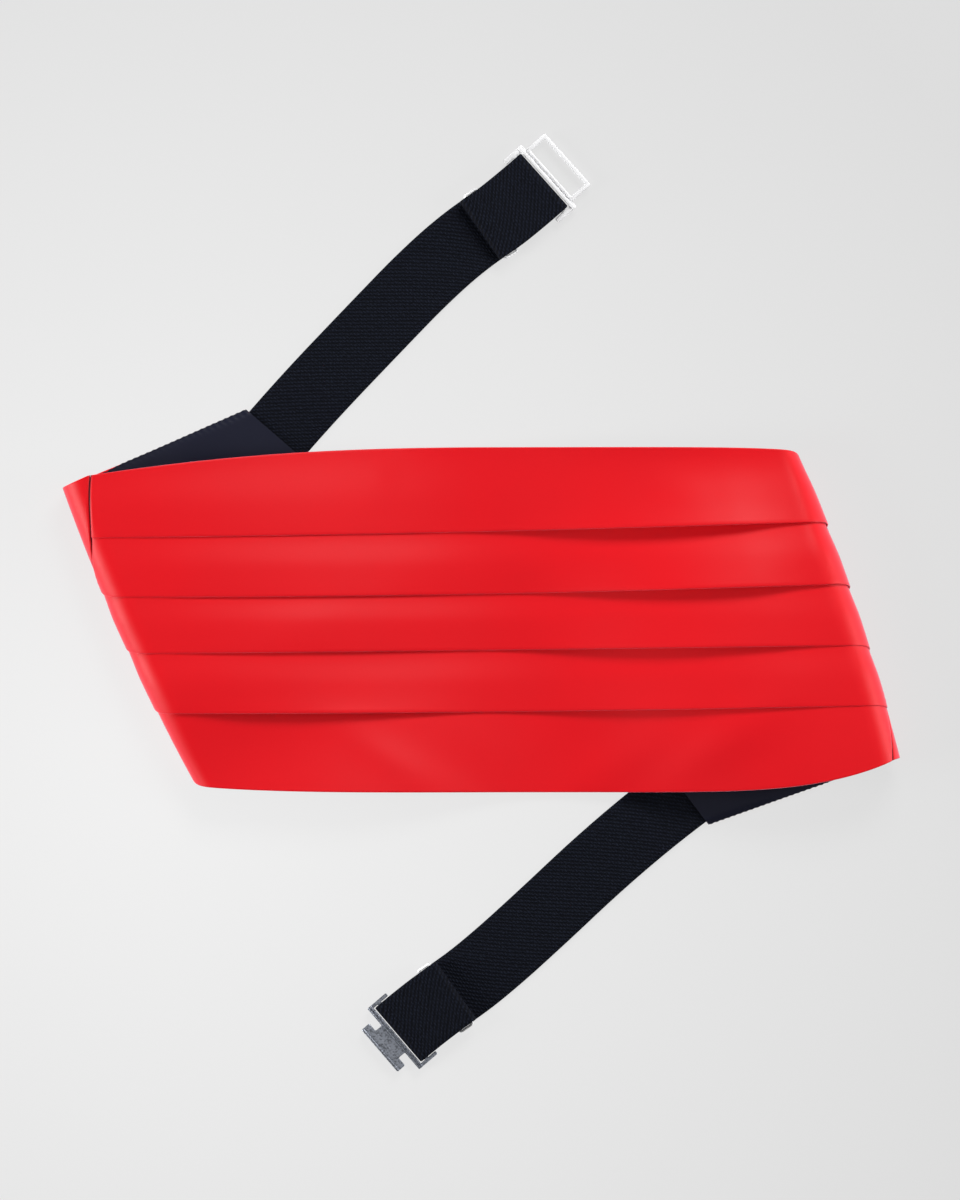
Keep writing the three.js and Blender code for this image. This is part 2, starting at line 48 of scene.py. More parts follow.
# Flat cloth
PANEL_LENGTH = 286.4
PANEL_HEIGHT = 123.5
SEAM_HEIGHT = 103.0
TAIL_LENGTH = 78.4
TAIL_LEDGE = 1.3
SEAM_SETBACK = 0.9
SEAM_AT = PANEL_LENGTH / 2 - SEAM_SETBACK
SEAM_SLANT = 2.4
SATIN = 0.36
SOLID_PLY = 1.0
REST_GAP = 0.15
HEM = 6.0
HEM_GAP = 0.1
HEM_ROUND = SATIN + HEM_GAP / 2
SLANT_FADE = 14.0
SEAM_SHARE = 0.5
SEAM_FADE = 7.0
SEAM_DIP = 0.62
SEAM_HOLLOW = 0.4
SEAM_PUCKER = 0.09
PUCKER_PITCH = 2.6
PUCKER_WANDER = 0.21
PUCKER_AT = 1.2
PUCKER_WIDTH = 1.4
LINING = 0.4
LINING_LEVEL = 0.7
LINING_INSET = 1.2
LINING_FADE = 38.0
LINING_ROUND = 1.4
LINING_GAP = 0.04
TAIL_INSET = -0.3
STITCH_PITCH = 2.1
STITCH_PULL = 0.28
STITCH_DIMPLE = 0.3
STITCH_AT = 1.2
STITCH_WIDTH = 0.7

# Pleats, which open towards the lower edge
PLEAT_DEPTH = 10.0
PLEAT_LIFT = 3.9
PLY_GAP = 0.08
PITCH = SATIN + PLY_GAP
STACK = 2 * PITCH + SATIN
BAND_BOW = 0.15
FOLD_PRESS = 0.55
FOLD_PRESS_FADE = 22.0
CORNER_PINCH = 0.25
CORNER_REACH = 40.0

# Elastic straps and the bars that they loop round
ELASTIC_WIDTH = 25.4
ELASTIC = 1.3
ELASTIC_TUCK = 10.0
SELVEDGE = 0.5
SELVEDGE_TAPER = 0.96
SEWN_END = 2.6
STRAP_FALL = 12.0
BAR_GAP = 0.25
BAR_CLEARANCE = 0.02
TABLE_GAP = 0.03
LAY_GAP = 0.3
SLIDER_BAR = 1.2
SLIDER_SIDE = 0.9
SLIDER_PLATE = 1.0
SLIDER_PITCH = 5.0
SLIDER_CORNER = 1.3
SLIDER_BEVEL = 0.3
HUMP_REACH = 0.9
HUMP_SLOPE = 0.7

# Clasp
FITTING_PLATE = 1.6
FITTING_BAR = 1.6
FITTING_BEVEL = 0.25
FITTING_OVERLAP = 0.05
BAR_INSET = 0.2
BAR_CORNER = 0.3
RAIL = 1.9
RAIL_RISE = 0.5
RAIL_CORNER = 0.4
RAIL_TOP = -0.3
RAIL_BEVEL = 0.15
RIDGE = 0.7
RIDGE_BEVEL = 0.3
GROOVE = 0.5
WING_REACH = 6.5
WING_CORNER = 0.35
EYE_WING = 1.9
HOOK_WING = 1.3
EYE_FRAME_LENGTH = 9.0
EYE_FRAME_WIDTH = 24.8
EYE_CORNER = 0.6
EYE_BEVEL = 0.3
EYE_SLOT_LENGTH = 6.6
EYE_SLOT_WIDTH = 21.8
EYE_FAR_BAR = 1.4
SLOT_CORNER = 0.5
NECK_LENGTH = 2.9
NECK_WIDTH = 12.7
NECK_FILLET = 0.9
NECK_BEVEL = 0.1
TEE_LENGTH = 3.6
TEE_WIDTH = 19.8
TEE_CORNER = 0.5
TEE_LIP = 1.1
TEE_LIP_RISE = 0.65
TEE_LIP_BEVEL = 0.45
CATCH_PLATE = 1.3

# Each end of the panel. fold_reach is a share of PANEL_LENGTH and tail_offset one of SEAM_HEIGHT.
# edges gives each edge's power of curve and its drop at the seam. spread is how far the fold stands
# out at its upper and lower end, and bulge how much further halfway. strap_turns gives shares of the
# strap's length and its turn there in degrees.
ENDS = {
    "left": {
        "sign": -1,
        "fold_reach": 0.4567,
        "fold_tilt": 24.9,
        "fold_radius": 7.6,
        "edges": {1: (2.3, 10.25), -1: (4.5, 10.25)},
        "spread": (0.3, 3.6),
        "bulge": 3.3,
        "tail_offset": -0.007,
        "tail_turn": -0.8,
        "strap_length": 133.0,
        "doubled": 29.6,
        "strap_turns": [
            (0, 0), (0.25, -2.6), (0.5, -3), (0.64, -6.6), (0.74, -11.6), (0.8, -15.6), (0.87, -10.2),
            (1, -7.2),
        ],
    },
    "right": {
        "sign": 1,
        "fold_reach": 0.4501,
        "fold_tilt": 18.2,
        "fold_radius": 8.6,
        "edges": {1: (7.5, 10.25), -1: (6.0, 12.2)},
        "spread": (0.4, 0.4),
        "bulge": 2.6,
        "tail_offset": -0.115,
        "tail_turn": -0.6,
        "strap_length": 134.4,
        "doubled": 26.4,
        "strap_turns": [
            (0, 0), (0.2, 3.4), (0.4, 6.4), (0.6, 5.2), (0.72, 2.4), (0.8, -2), (0.9, 0.8), (1, 3.6)
        ],
    },
}

# Lower edge of each pleated band, as the share of PANEL_HEIGHT above the centre line at the left
# seam, the middle and the right seam, and where along PANEL_LENGTH it stands open, with the share of
# PLEAT_LIFT there.
PLEATS = [
    {"left": 0.237, "middle": 0.256, "right": 0.291, "openings": [(0.17, 0.65), (0.26, 0.65)]},
    {"left": 0.066, "middle": 0.075, "right": 0.11, "openings": [(-0.2, 0.1), (0.26, 0.95)]},
    {"left": -0.099, "middle": -0.088, "right": -0.072, "openings": [(-0.2, 0.15), (0.22, 0.75)]},
    {"left": -0.271, "middle": -0.267, "right": -0.246, "openings": [(-0.22, 0.7), (0.2, 0.45)]},
]
OPEN_SPREAD = 0.24
LIFT_POWER = 1.7

# How the panel sinks from its folds to the table
SAG_POWER = 1.3
BELLY_HEIGHT = 1.7
BULGE_FADE = 35.0

# Soft swells of the laid front, in millimetres and degrees, and where they set in on the way from a
# fold to the belly
SWELL_FADE = (0.02, 0.3)
SWELLS = [
    {"u": -38, "v": -49, "heading": -33, "half_length": 20, "half_width": 6, "rise": 0.5},
    {"u": -10, "v": -54, "heading": -33, "half_length": 20, "half_width": 8, "rise": -0.45},
    {"u": 44, "v": -52, "heading": 33, "half_length": 30, "half_width": 8, "rise": 0.8},
    {"u": 84, "v": -42, "heading": 33, "half_length": 30, "half_width": 9, "rise": 1.2},
    {"u": -36, "v": 57, "heading": 78, "half_length": 9, "half_width": 4, "rise": 0.5},
    {"u": 0, "v": 20, "heading": 8, "half_length": 60, "half_width": 16, "rise": 0.3},
    {"u": 66, "v": 47, "heading": 150, "half_length": 22, "half_width": 8, "rise": 0.25},
    {"u": -70, "v": 34, "heading": 15, "half_length": 40, "half_width": 14, "rise": 0.2},
]


def smooth(x, low, high):
    t = np.clip((x - low) / (high - low), 0, 1)
    return t * t * (3 - 2 * t)


def mix(a, b, share):
    return a + (b - a) * share


for end in ENDS.values():
    tilt = math.radians(end["fold_tilt"])
    turn = math.radians(end["tail_turn"])
    end["across"] = np.array([math.cos(tilt), math.sin(tilt)])
    end["along"] = np.array([-math.sin(tilt), math.cos(tilt)])
    end["silhouette"] = end["fold_reach"] * PANEL_LENGTH * math.cos(tilt) - SOLID_PLY
    end["tail_end"] = (end["sign"] * (PANEL_LENGTH / 2 + TAIL_LENGTH), end["tail_offset"] * SEAM_HEIGHT)
    end["tail_axis"] = np.array([end["sign"] * math.cos(turn), math.sin(turn)])
LEFT, RIGHT = ENDS["left"], ENDS["right"]


# Laying the flat cloth
def swell_height(u, v):
    height = 0.0
    for swell in SWELLS:
        c, s = math.cos(math.radians(swell["heading"])), math.sin(math.radians(swell["heading"]))
        along = ((u - swell["u"]) * c + (v - swell["v"]) * s) / swell["half_length"]
        aside = ((v - swell["v"]) * c - (u - swell["u"]) * s) / swell["half_width"]
        height = height + swell["rise"] * np.exp(-(along**2) - aside**2)
    return height


def reach_of(end, u, v):
    return end["sign"] * (u * end["across"][0] + v * end["across"][1])


def run_of(end, u, v):
    return u * end["along"][0] + v * end["along"][1]


def edge_v(u, upper):
    """The flat cloth's upper (1) or lower (-1) edge."""
    beyond = np.maximum(0, np.abs(u) - PANEL_LENGTH / 2)
    share = np.minimum(1, np.abs(2 * u / PANEL_LENGTH))
    drops = [drop * share**power for power, drop in (LEFT["edges"][upper], RIGHT["edges"][upper])]
    on_panel = PANEL_HEIGHT / 2 - np.where(u < 0, drops[0], drops[1])
    offset = np.where(u < 0, LEFT["tail_end"][1], RIGHT["tail_end"][1])
    at_joint = offset + upper * (ELASTIC_WIDTH / 2 + TAIL_LEDGE)
    return mix(upper * on_panel, at_joint, beyond / TAIL_LENGTH)


def corner_run(end):
    """Where along the fold the panel's own corner lies, which is pinched tighter than the rest."""
    steps = 400
    u = end["sign"] * np.linspace(0, PANEL_LENGTH / 2, steps)
    v = edge_v(u, end["sign"])
    nearest = np.argmin(np.abs(reach_of(end, u, v) - end["silhouette"]))
    return run_of(end, u[nearest], v[nearest])


for end in ENDS.values():
    end["corner_run"] = corner_run(end)


def fold_radius(end, u, v):
    from_corner = np.abs(run_of(end, u, v) - end["corner_run"])
    return end["fold_radius"] * (1 - CORNER_PINCH * (1 - smooth(from_corner, 0, CORNER_REACH)))


def inside_fold(end, u, v):
    """Distance from a place on the flat cloth back to the tangent line of the fold."""
    return end["silhouette"] - fold_radius(end, u, v) - reach_of(end, u, v)


def panel_height(u, v):
    left, right = inside_fold(LEFT, u, v), inside_fold(RIGHT, u, v)
    share = np.clip(left / (left + right), 0, 1)
    inward = 2 * np.minimum(share, 1 - share)
    top = STACK + 2 * np.where(share < 0.5, fold_radius(LEFT, u, v), fold_radius(RIGHT, u, v))
    sag = (1 + np.cos(np.pi * inward**SAG_POWER)) / 2
    return mix(BELLY_HEIGHT, top, sag) + swell_height(u, v) * smooth(inward, *SWELL_FADE)


def stack_share(u, v):
    """How much of the pleats' full thickness is left at a fold, and near and past a seam."""
    beyond = np.abs(u) - PANEL_LENGTH / 2
    to_fold = np.minimum(inside_fold(LEFT, u, v), inside_fold(RIGHT, u, v))
    pressed = mix(FOLD_PRESS, 1, smooth(to_fold, 0, FOLD_PRESS_FADE))
    return np.minimum(pressed, mix(1, SEAM_SHARE, smooth(beyond, -SEAM_FADE, 0)))


def tail_drop(u, v):
    beyond = np.abs(u) - PANEL_LENGTH / 2
    return STACK - mix(STACK * stack_share(u, v), SATIN, smooth(beyond, 0, SEAM_FADE))


def lay_round(end, u, v, w):
    radius = fold_radius(end, u, v)
    tangent = end["silhouette"] - radius
    past = -inside_fold(end, u, v)
    run = run_of(end, u, v)
    angle = np.clip(past / radius, 0, np.pi)
    on_top = past < 0
    reach = tangent + (radius + w) * np.sin(angle)
    reach = np.where(on_top, tangent + past, reach)
    reach = np.where(past > np.pi * radius, tangent - (past - np.pi * radius), reach)
    z = STACK + radius + (radius + w) * np.cos(angle) - tail_drop(u, v) * (1 - np.cos(angle)) / 2
    z = np.where(on_top, panel_height(u, v) + w, z) + REST_GAP
    x = end["sign"] * reach * end["across"][0] + run * end["along"][0]
    y = end["sign"] * reach * end["across"][1] + run * end["along"][1]
    middle = np.maximum(0, 1 - (2 * y / PANEL_HEIGHT) ** 2)
    upper, lower = end["spread"]
    out = mix(lower, upper, np.clip(y / PANEL_HEIGHT + 0.5, 0, 1)) + end["bulge"] * middle
    outward = smooth(reach, tangent - BULGE_FADE, tangent + radius)
    return np.stack([x + end["sign"] * out * outward, y, z], -1)


def lay(u, v, w):
    u, v, w = np.broadcast_arrays(u, v, w)
    nearer_left = reach_of(LEFT, u, v) > reach_of(RIGHT, u, v)
    return np.where(nearer_left[..., None], lay_round(LEFT, u, v, w), lay_round(RIGHT, u, v, w))


def joint_u(end, v):
    return end["tail_end"][0] - (v - end["tail_end"][1]) * end["tail_axis"][1] / end["tail_axis"][0]


# Strap routes on the table: curves that leave the tails square to their ends.
def strap_route(end):
    start = lay(end["tail_end"][0], end["tail_end"][1], 0.0)[:2]
    out = end["tail_axis"] - 2 * end["tail_axis"].dot(end["across"]) * end["across"]
    heading = math.atan2(out[1], out[0])
    shares, turns = zip(*end["strap_turns"])
    steps = 240
    step = end["strap_length"] / steps

    def direction(a):
        angle = heading + np.radians(np.interp(a / end["strap_length"], shares, turns))
        return np.stack([np.cos(angle), np.sin(angle)], -1)

    moves = direction((np.arange(steps) + 0.5) * step) * step
    places = np.concatenate([[start], start + np.cumsum(moves, 0)])

    def at(a, b, z):
        a, b, z = np.broadcast_arrays(np.asarray(a, float), b, z)
        index = np.clip(np.floor(a / step), 0, steps - 1).astype(int)
        along = direction(a)
        place = places[index] + along * (a - index * step)[..., None]
        return np.stack([place[..., 0] - along[..., 1] * b, place[..., 1] + along[..., 0] * b, z], -1)

    return at


BAR_ROUND = math.hypot(SLIDER_BAR, SLIDER_PLATE) / 2
SLIDER_LOOP = BAR_ROUND + BAR_GAP + ELASTIC / 2
SLIDER_HEIGHT = ELASTIC + LAY_GAP + ELASTIC / 2 + SLIDER_LOOP
UNDER_BAR_HEIGHT = BAR_ROUND + BAR_CLEARANCE
CLASP_LOOP = FITTING_PLATE / 2 + LAY_GAP + ELASTIC / 2
CLASP_HEIGHT = ELASTIC / 2 + CLASP_LOOP
for end in ENDS.values():
    end["route"] = strap_route(end)
    end["slider_at"] = end["strap_length"] - end["doubled"] + SLIDER_LOOP + ELASTIC / 2
    end["clasp_at"] = end["strap_length"] - CLASP_LOOP - ELASTIC / 2


def panel_middle():
    """Where the flat panel's middle lies in the row frame, read from the left slider's place."""
    low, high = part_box("slider_left")
    route, at = LEFT["route"], LEFT["slider_at"]
    ahead = route(at + 1, 0, 0) - route(at, 0, 0)
    ring = route(at, 0, 0) + ahead * SLIDER_PITCH / 2
    middle = (low + high) / 2 / MM
    return np.array([middle.x - ring[0], middle.y - ring[1], 0.0])


PANEL_MIDDLE = panel_middle()


# Finishes, with lengths in metres, angles in radians and noise scales per metre
GRAIN_FINENESS = 40.0
SLUB_SCALE = 900.0
WARP_PITCH = 0.00022
TWILL_PITCH = 0.0009
TWILL_ANGLE = 0.6
SATIN_RELIEF = 0.00002
# Painted sheen: the facing over which the colour turns milky, and its greatest share
PAINTED_SHEEN_FACING = (0.12, 0.8)
PAINTED_SHEEN_MOST = 0.5
# Painted shade along the seams: where it is full and where it has faded out from the seam line, and its
# dark colour
SEAM_SHADE_SPAN = (0.0001, 0.0005)
SEAM_SHADE = (0.03, 0.0005, 0.001, 1)
RIB_PITCH = 0.0013
RIB_ANGLE = 0.8
FILLING_PITCH = 0.0009
RIB_RELIEF = 0.0002
RIB_HOLLOW = (0.0008, 0.0011, 0.0026, 1)
RIB_CREST = (0.0105, 0.014, 0.027, 1)
RIB_DUST = (0.003, 0.004, 0.009, 1)
CAST_GRAIN_SCALE = 1500.0
CAST_RELIEF = 0.00006
SPECK_RANGE = (0.47, 0.62)
SPECK_SHADE = 0.45


# Shader groups
def new_group(name, inputs, outputs):
    tree = bpy.data.node_groups.new(name, "ShaderNodeTree")
    for label, kind, value in inputs:
        socket = tree.interface.new_socket(label, in_out="INPUT", socket_type="NodeSocket" + kind)
        if value is not None:
            socket.default_value = value
    for label, kind in outputs:
        tree.interface.new_socket(label, in_out="OUTPUT", socket_type="NodeSocket" + kind)
    return tree, tree.nodes.new("NodeGroupInput").outputs, tree.nodes.new("NodeGroupOutput").inputs


def fill(tree, socket, value):
    if isinstance(value, bpy.types.NodeSocket):
        tree.links.new(value, socket)
    else:
        socket.default_value = value


def add(tree, kind, settings=None, **values):
    node = tree.nodes.new("ShaderNode" + kind)
    for name, value in (settings or {}).items():
        setattr(node, name, value)
    for name, value in values.items():
        fill(tree, node.inputs[name.replace("_", " ")], value)
    return node


def place_group(tree, group, **values):
    node = tree.nodes.new("ShaderNodeGroup")
    node.node_tree = group
    for name, value in values.items():
        fill(tree, node.inputs[name.replace("_", " ")], value)
    return node.outputs


def calc(tree, operation, *values):
    node = tree.nodes.new("ShaderNodeMath")
    node.operation = operation
    for socket, value in zip(node.inputs, values):
        fill(tree, socket, value)
    return node.outputs[0]


def blend_colour(tree, share, first, second):
    node = add(tree, "Mix", {"data_type": "RGBA"})
    fill(tree, node.inputs["Factor"], share)
    fill(tree, node.inputs[6], first)
    fill(tree, node.inputs[7], second)
    return node.outputs[2]


def noise(tree, vector, scale, detail=2.0):
    return add(tree, "TexNoise", Vector=vector, Scale=scale, Detail=detail).outputs["Fac"]


def make_soft_patches():
    """Broad patches and fine grain of a dyed cloth, as one mask from 0 to 1."""
    tree, given, result = new_group(
        "soft_patches",
        [("Vector", "Vector", None), ("Patch Scale", "Float", 30.0), ("Grain", "Float", 0.3)],
        [("Mask", "Float")],
    )
    broad = noise(tree, given["Vector"], given["Patch Scale"])
    fine_scale = calc(tree, "MULTIPLY", given["Patch Scale"], GRAIN_FINENESS)
    fine = noise(tree, given["Vector"], fine_scale, 3.0)
    mixed = add(tree, "Mix", Factor=given["Grain"], A=broad, B=fine)
    tree.links.new(mixed.outputs[0], result["Mask"])
    return tree


def make_thread_rows():
    """Parallel threads or ribs at an angle across the cloth, with slight slubs."""
    tree, given, result = new_group(
        "thread_rows",
        [
            ("Vector", "Vector", None),
            ("Pitch", "Float", 0.001),
            ("Angle", "Float", 0.0),
            ("Slub", "Float", 0.1),
        ],
        [("Height", "Float")],
    )
    turn = add(tree, "CombineXYZ", Z=given["Angle"]).outputs[0]
    by_euler = {"rotation_type": "EULER_XYZ"}
    turned = add(tree, "VectorRotate", by_euler, Vector=given["Vector"], Rotation=turn)
    across = add(tree, "SeparateXYZ", Vector=turned.outputs[0]).outputs["Y"]
    rows = calc(tree, "DIVIDE", across, given["Pitch"])
    wobble = calc(tree, "MULTIPLY", noise(tree, given["Vector"], SLUB_SCALE), given["Slub"])
    wave = calc(tree, "SINE", calc(tree, "MULTIPLY", calc(tree, "ADD", rows, wobble), 2 * math.pi))
    tree.links.new(calc(tree, "MULTIPLY_ADD", wave, 0.5, 0.5), result["Height"])
    return tree


SOFT_PATCHES = make_soft_patches()
THREAD_ROWS = make_thread_rows()


def new_material(name):
    material = bpy.data.materials.new(name)
    material.use_nodes = True
    tree = material.node_tree
    return material, tree, tree.nodes["Principled BSDF"]


def cloth_vector(tree):
    return add(tree, "UVMap", {"uv_map": "cloth"}).outputs["UV"]


def make_satin(name, light, dark, painted_sheen_colour, roughness, sheen, sheen_tint, seam):
    """A satin with fine warp threads along the cloth, a painted sheen that turns it milky at grazing
    views, and painted shade darkening its seams.
    """
    material, tree, shader = new_material(name)
    vector = cloth_vector(tree)
    patches = place_group(tree, SOFT_PATCHES, Vector=vector, Patch_Scale=26.0, Grain=0.3)["Mask"]
    warp = place_group(tree, THREAD_ROWS, Vector=vector, Pitch=WARP_PITCH, Angle=0.0, Slub=0.35)
    twill = place_group(tree, THREAD_ROWS, Vector=vector, Pitch=TWILL_PITCH, Angle=TWILL_ANGLE, Slub=0.5)
    colour = blend_colour(tree, patches, (*light, 1), (*dark, 1))
    # Painted sheen: towards grazing views the colour is blended to a milky tint that stands in for the
    # satin's shine
    facing = add(tree, "LayerWeight", Blend=0.5).outputs["Facing"]
    first, last = PAINTED_SHEEN_FACING
    painted_sheen_share = add(tree, "MapRange", Value=facing, From_Min=first, From_Max=last, To_Max=PAINTED_SHEEN_MOST)
    colour = blend_colour(tree, painted_sheen_share.outputs[0], colour, (*painted_sheen_colour, 1))
    # Painted shade: a thin dark line along the seam, standing in for the shade in the ditch between the
    # cloths
    along = calc(tree, "ABSOLUTE", add(tree, "SeparateXYZ", Vector=vector).outputs["X"])
    beside = calc(tree, "ABSOLUTE", calc(tree, "SUBTRACT", along, SEAM_AT * MM))
    first, last = SEAM_SHADE_SPAN
    painted_seam_shade = add(tree, "MapRange", Value=beside, From_Min=first, From_Max=last, To_Min=seam, To_Max=0.0)
    colour = blend_colour(tree, painted_seam_shade.outputs[0], colour, SEAM_SHADE)
    tree.links.new(colour, shader.inputs["Base Color"])
    shine = calc(tree, "MULTIPLY_ADD", patches, 0.12, roughness - 0.06)
    tree.links.new(shine, shader.inputs["Roughness"])
    height = calc(tree, "MULTIPLY_ADD", twill["Height"], 0.3, warp["Height"])
    bump = add(tree, "Bump", Strength=0.35, Distance=SATIN_RELIEF, Height=height)
    tree.links.new(bump.outputs["Normal"], shader.inputs["Normal"])
    shader.inputs["Specular IOR Level"].default_value = 0.25
    shader.inputs["Sheen Weight"].default_value = sheen
    shader.inputs["Sheen Roughness"].default_value = 0.35
    shader.inputs["Sheen Tint"].default_value = (*sheen_tint, 1)
    return material


def make_elastic_webbing():
    """Dark webbing with slanted twill ribs over fine filling threads."""
    material, tree, shader = new_material("navy_elastic_twill")
    vector = cloth_vector(tree)
    ribs = place_group(tree, THREAD_ROWS, Vector=vector, Pitch=RIB_PITCH, Angle=RIB_ANGLE, Slub=1.0)
    filling = place_group(
        tree, THREAD_ROWS, Vector=vector, Pitch=FILLING_PITCH, Angle=math.pi / 2, Slub=0.7
    )
    patches = place_group(tree, SOFT_PATCHES, Vector=vector, Patch_Scale=60.0, Grain=0.5)["Mask"]
    threads = calc(tree, "MULTIPLY_ADD", filling["Height"], 0.75, 0.25)
    dashes = calc(tree, "MULTIPLY", ribs["Height"], threads)
    colour = blend_colour(tree, dashes, RIB_HOLLOW, RIB_CREST)
    dusty = blend_colour(tree, calc(tree, "MULTIPLY", patches, 0.4), colour, RIB_DUST)
    tree.links.new(dusty, shader.inputs["Base Color"])
    bump = add(tree, "Bump", Strength=0.9, Distance=RIB_RELIEF, Height=dashes)
    tree.links.new(bump.outputs["Normal"], shader.inputs["Normal"])
    shader.inputs["Roughness"].default_value = 0.7
    shader.inputs["Specular IOR Level"].default_value = 0.08
    shader.inputs["Sheen Weight"].default_value = 0.02
    return material


def make_cast_metal(name, colour, roughness, speckle, metallic):
    """Plated cast metal with a faint grain and darker specks."""
    material, tree, shader = new_material(name)
    vector = add(tree, "TexCoord").outputs["Object"]
    patches = place_group(tree, SOFT_PATCHES, Vector=vector, Patch_Scale=90.0, Grain=0.55)["Mask"]
    grain = noise(tree, vector, CAST_GRAIN_SCALE, 4.0)
    first, last = SPECK_RANGE
    raised = add(tree, "MapRange", Value=grain, From_Min=first, From_Max=last).outputs[0]
    specks = calc(tree, "MULTIPLY", raised, speckle)
    shade = tuple(c * SPECK_SHADE for c in colour)
    tree.links.new(blend_colour(tree, specks, (*colour, 1), (*shade, 1)), shader.inputs["Base Color"])
    tree.links.new(calc(tree, "MULTIPLY_ADD", patches, 0.15, roughness), shader.inputs["Roughness"])
    bump = add(tree, "Bump", Strength=0.3 * speckle + 0.05, Distance=CAST_RELIEF, Height=grain)
    tree.links.new(bump.outputs["Normal"], shader.inputs["Normal"])
    shader.inputs["Metallic"].default_value = metallic
    return material


RED_SATIN = make_satin(
    "red_satin_cloth",
    light=(0.82, 0.002, 0.008),
    dark=(0.74, 0.0015, 0.007),
    # colour of the painted sheen at grazing views
    painted_sheen_colour=(0.92, 0.075, 0.11),
    roughness=0.45,
    sheen=0.9,
    sheen_tint=(1, 0.45, 0.6),
    # strength of the painted shade along the seams
    seam=0.95,
)
NAVY_SATIN = make_satin(
    "navy_satin_cloth",
    light=(0.01, 0.011, 0.026),
    dark=(0.007, 0.008, 0.019),
    # colour of the painted sheen at grazing views
    painted_sheen_colour=(0.02, 0.022, 0.045),
    roughness=0.42,
    sheen=0.05,
    sheen_tint=(0.6, 0.7, 1),
    seam=0.0,
)
ELASTIC_WEBBING = make_elastic_webbing()
EYE_METAL = make_cast_metal(
    "bright_cast_metal", colour=(0.98, 0.98, 0.99), roughness=0.3, speckle=0.1, metallic=0.2
)
HOOK_METAL = make_cast_metal(
    "grey_cast_metal", colour=(0.46, 0.49, 0.56), roughness=0.28, speckle=1.0, metallic=1.0
)


# Meshes, how finely they are divided and where their edges turn sharp
CLOTH_CREASE = math.radians(50)
METAL_CREASE = math.radians(30)
HEM_STEPS = 7
BAND_STEPS = 9
LOWER_TURN_STEPS = 8
UPPER_TURN_STEPS = 6
LAST_BAND_STEPS = 14
HIDDEN_SHARES = (0.35, 0.7)
FRONT_COLUMNS = 206
SEAM_COLUMNS = np.array([0, 0.25, 0.55, 0.9, 1.4, 2.1])
COLUMN_GAP = 0.4
SEAM_OPENING = 0.12
END_PANEL_START = 2.9
END_PANEL_ROWS = 40
END_PANEL_COLUMNS = 70
LINING_EDGE = np.array([0, 0.003, 0.008, 0.015, 0.024, 0.036, 0.052])
LINING_SHARES = np.concatenate([LINING_EDGE, np.linspace(0.08, 0.92, 26), 1 - LINING_EDGE[::-1]])
LINING_COLUMNS = 130
LINING_COARSE_END = 8
LINING_FINE_START = 7
LINING_STEP = 0.42
STRAP_STEP = 1.2
FINE_STRAP_STEP = 0.6
FINE_STRAP_START = 3
LOOP_STEPS = 15
WAY_BACK_STEPS = 40
STRAP_COLUMNS = 15
WELD = 1e-4


def add_piece(name, mesh, material, node):
    mesh.materials.clear()
    mesh.materials.append(material)
    mesh.shade_smooth()
    mesh.set_sharp_from_angle(angle=CLOTH_CREASE)
    piece = bpy.data.objects.new(name, mesh)
    bpy.context.scene.collection.objects.link(piece)
    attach(piece, "root")
    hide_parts(node)
    return piece


def close_sheet(name, front, back, flat):
    """A closed sheet between two grids of points. Rows run from the upper edge down."""
    rows, columns = front.shape[:2]
    count = rows * columns
    ids = np.arange(count).reshape(rows, columns)
    corners = (ids[:-1, :-1], ids[1:, :-1], ids[1:, 1:], ids[:-1, 1:])
    top = np.stack([c.ravel() for c in corners], -1)
    rim = np.concatenate([ids[0, ::-1], ids[1:, 0], ids[-1, 1:], ids[-2:0:-1, -1]])
    after = np.roll(rim, -1)
    sides = np.stack([rim, rim + count, after + count, after], -1)
    faces = np.concatenate([top, top[:, ::-1] + count, sides])
    points = np.concatenate([front.reshape(-1, 3), back.reshape(-1, 3)])
    mesh = bpy.data.meshes.new(name)
    mesh.from_pydata(((points + PANEL_MIDDLE) * MM).tolist(), [], faces.tolist())
    uvs = np.concatenate([flat.reshape(-1, 2)] * 2) * MM
    layer = mesh.uv_layers.new(name="cloth")
    layer.data.foreach_set("uv", uvs[faces.ravel()].ravel())
    return mesh


def lay_cloth(name, u, rows_of):
    """Lays the rows of a flat cloth, given for columns of u and for each side of the cloth."""
    surfaces = []
    for side in ("front", "back"):
        rows = rows_of(u, side)
        v = np.stack([np.broadcast_to(row[0], u.shape) for row in rows])
        w = np.stack([np.broadcast_to(row[1], u.shape) for row in rows])
        tip = np.where(u < 0, LEFT["tail_end"][0], RIGHT["tail_end"][0])
        joint = np.where(u < 0, joint_u(LEFT, v), joint_u(RIGHT, v))
        out = np.maximum(0, np.abs(u) - PANEL_LENGTH / 2) / TAIL_LENGTH
        slant = SEAM_SLANT * smooth(-v, -SEAM_HEIGHT / 2, -SEAM_HEIGHT / 4)
        slid = np.where(u < 0, slant * np.exp(-(((np.abs(u) - SEAM_AT) / SLANT_FADE) ** 2)), 0)
        surfaces.append((lay(u + (joint - tip) * out + slid, v, w), v, w))
    front, v, w = surfaces[0]
    steps = np.hypot(np.diff(v, axis=0), np.diff(w, axis=0))
    unrolled = np.concatenate([np.zeros((1, len(u))), np.cumsum(steps, 0)])
    flat = np.stack([np.broadcast_to(u, v.shape), -unrolled], -1)
    return close_sheet(name, front, surfaces[1][0], flat)


def turn_rows(middle_v, middle_w, radius, towards, steps):
    """Rows round a turned edge, from its upper ply to its lower ply."""
    angles = np.linspace(0, np.pi, steps)
    return [(middle_v + towards * radius * np.sin(a), middle_w + radius * np.cos(a)) for a in angles]


